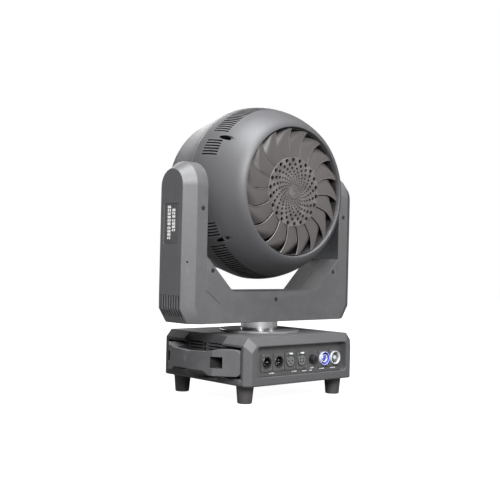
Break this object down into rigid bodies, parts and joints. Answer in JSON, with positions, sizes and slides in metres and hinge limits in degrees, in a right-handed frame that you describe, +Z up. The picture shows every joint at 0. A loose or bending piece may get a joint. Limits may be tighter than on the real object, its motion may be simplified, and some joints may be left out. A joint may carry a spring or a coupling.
{
  "type": "moving head light",
  "caption": "Motorised stage light: a round head that tilts in a yoke, which pans on a low base with handles, display and sockets.",
  "frame": {"origin": "on the pan axis, level with the bottoms of the feet", "axes": "+Z up along the pan axis, +Y towards the rear, where the sockets and the air grille are, X along the tilt axis; the lenses face -Y at rest"},
  "size_m": [0.418, 0.236, 0.5256],
  "materials": {
    "casing": "fine textured satin, dark warm grey",
    "panel": "fine powder coat",
    "rubber": "matt",
    "black_plastic": "satin",
    "blue_plastic": "satin",
    "white_plastic": "satin",
    "chrome": "polished",
    "steel": "zinc plated",
    "motor": "black lacquer",
    "aluminium": "satin",
    "board": "solder resist",
    "display_glass": "gloss",
    "lens": "clear moulded"
  },
  "bodies": {
    "base": {"base_housing": "casing", "base_bottom_plate": "steel", "foot_front_left": "rubber", "foot_front_right": "rubber", "foot_rear_left": "rubber", "foot_rear_right": "rubber", "handle_left": "casing", "handle_right": "casing", "connector_panel": "panel", "data_in_3pin": "black_plastic", "data_in_5pin": "black_plastic", "data_out_3pin": "black_plastic", "data_out_5pin": "black_plastic", "fuse_holder": "black_plastic", "mains_inlet": "blue_plastic", "mains_outlet": "white_plastic", "display_bezel": "panel", "display_window": "display_glass", "power_supply": "aluminium", "main_board": "board", "pan_trim_disc": "black_plastic", "pan_tube": "chrome", "pan_pulley": "aluminium"},
    "yoke": {"yoke_frame": "steel", "arm_cover_left": "casing", "arm_cover_right": "casing", "crossbar_cover_rear": "casing", "crossbar_cover_front": "casing", "label_plate_left": "panel", "label_plate_right": "panel", "tilt_bearing_left": "chrome", "tilt_bearing_right": "chrome", "pan_bearing": "chrome", "pan_motor": "motor", "pan_belt": "rubber", "tilt_motor": "motor", "tilt_belt": "rubber", "arm_board": "board"},
    "head": {"head_frame": "aluminium", "head_rear_shell": "casing", "head_front_shell": "casing", "front_bezel": "black_plastic", "rear_grille": "casing", "heatsink": "aluminium", "led_board": "board", "fan_frame": "black_plastic", "tilt_pulley": "aluminium", "zoom_motor": "motor"},
    "latch_3pin": {"latch_3pin": "chrome"},
    "latch_5pin": {"latch_5pin": "chrome"},
    "fuse_cap": {"fuse_cap": "black_plastic"},
    "menu_button_1": {"menu_button_1": "rubber"},
    "menu_button_2": {"menu_button_2": "rubber"},
    "menu_button_3": {"menu_button_3": "rubber"},
    "menu_button_4": {"menu_button_4": "rubber"},
    "pan_motor_pulley": {"pan_motor_pulley": "aluminium"},
    "tilt_motor_pulley": {"tilt_motor_pulley": "aluminium"},
    "fan_rotor": {"fan_rotor": "black_plastic"},
    "lens_plate": {"lens_plate": "lens"},
    "zoom_screw": {"zoom_screw": "steel"}
  },
  "joints": [
    {"name": "pan", "type": "hinge", "parent": "base", "child": "yoke", "pos_m": [0, 0, 0.133], "axis": [0, 0, 1], "range_deg": [-270, 270]},
    {"name": "tilt", "type": "hinge", "parent": "yoke", "child": "head", "pos_m": [0, 0, 0.367], "axis": [1, 0, 0], "range_deg": [-225, 45]},
    {"name": "zoom", "type": "slide", "parent": "head", "child": "lens_plate", "axis": [0, 1, 0], "range_m": [0, 0.018]},
    {"name": "zoom_screw_turn", "type": "hinge", "parent": "head", "child": "zoom_screw", "pos_m": [0, -0.06, 0.497], "axis": [0, 1, 0], "range_deg": [-5, 845]},
    {"name": "fan_spin", "type": "hinge", "parent": "head", "child": "fan_rotor", "pos_m": [0, 0.055, 0.367], "axis": [0, 1, 0], "continuous": true},
    {"name": "pan_motor_turn", "type": "hinge", "parent": "yoke", "child": "pan_motor_pulley", "pos_m": [-0.1, 0, 0.17], "axis": [0, 0, 1], "range_deg": [-975, 975]},
    {"name": "tilt_motor_turn", "type": "hinge", "parent": "yoke", "child": "tilt_motor_pulley", "pos_m": [0.19, 0, 0.225], "axis": [1, 0, 0], "range_deg": [-680, 140]},
    {"name": "fuse_cap_turn", "type": "hinge", "parent": "base", "child": "fuse_cap", "pos_m": [-0.032, 0.11, 0.0695], "axis": [0, 1, 0], "range_deg": [0, 90]},
    {"name": "latch_3pin_press", "type": "slide", "parent": "base", "child": "latch_3pin", "axis": [0, -1, 0], "range_m": [0, 0.002], "stiffness_N_per_m": 600, "springref_m": -0.001},
    {"name": "latch_5pin_press", "type": "slide", "parent": "base", "child": "latch_5pin", "axis": [0, -1, 0], "range_m": [0, 0.002], "stiffness_N_per_m": 600, "springref_m": -0.001},
    {"name": "menu_button_1_press", "type": "slide", "parent": "base", "child": "menu_button_1", "axis": [0, 1, 0], "range_m": [0, 0.0012], "stiffness_N_per_m": 500, "springref_m": -0.0008},
    {"name": "menu_button_2_press", "type": "slide", "parent": "base", "child": "menu_button_2", "axis": [0, 1, 0], "range_m": [0, 0.0012], "stiffness_N_per_m": 500, "springref_m": -0.0008},
    {"name": "menu_button_3_press", "type": "slide", "parent": "base", "child": "menu_button_3", "axis": [0, 1, 0], "range_m": [0, 0.0012], "stiffness_N_per_m": 500, "springref_m": -0.0008},
    {"name": "menu_button_4_press", "type": "slide", "parent": "base", "child": "menu_button_4", "axis": [0, 1, 0], "range_m": [0, 0.0012], "stiffness_N_per_m": 500, "springref_m": -0.0008}
  ],
  "couplings": [
    {"joint": "zoom_screw_turn", "follows": "zoom", "rad_per_m": 785.4},
    {"joint": "pan_motor_turn", "follows": "pan", "ratio": -3.6},
    {"joint": "tilt_motor_turn", "follows": "tilt", "ratio": 3}
  ]
}
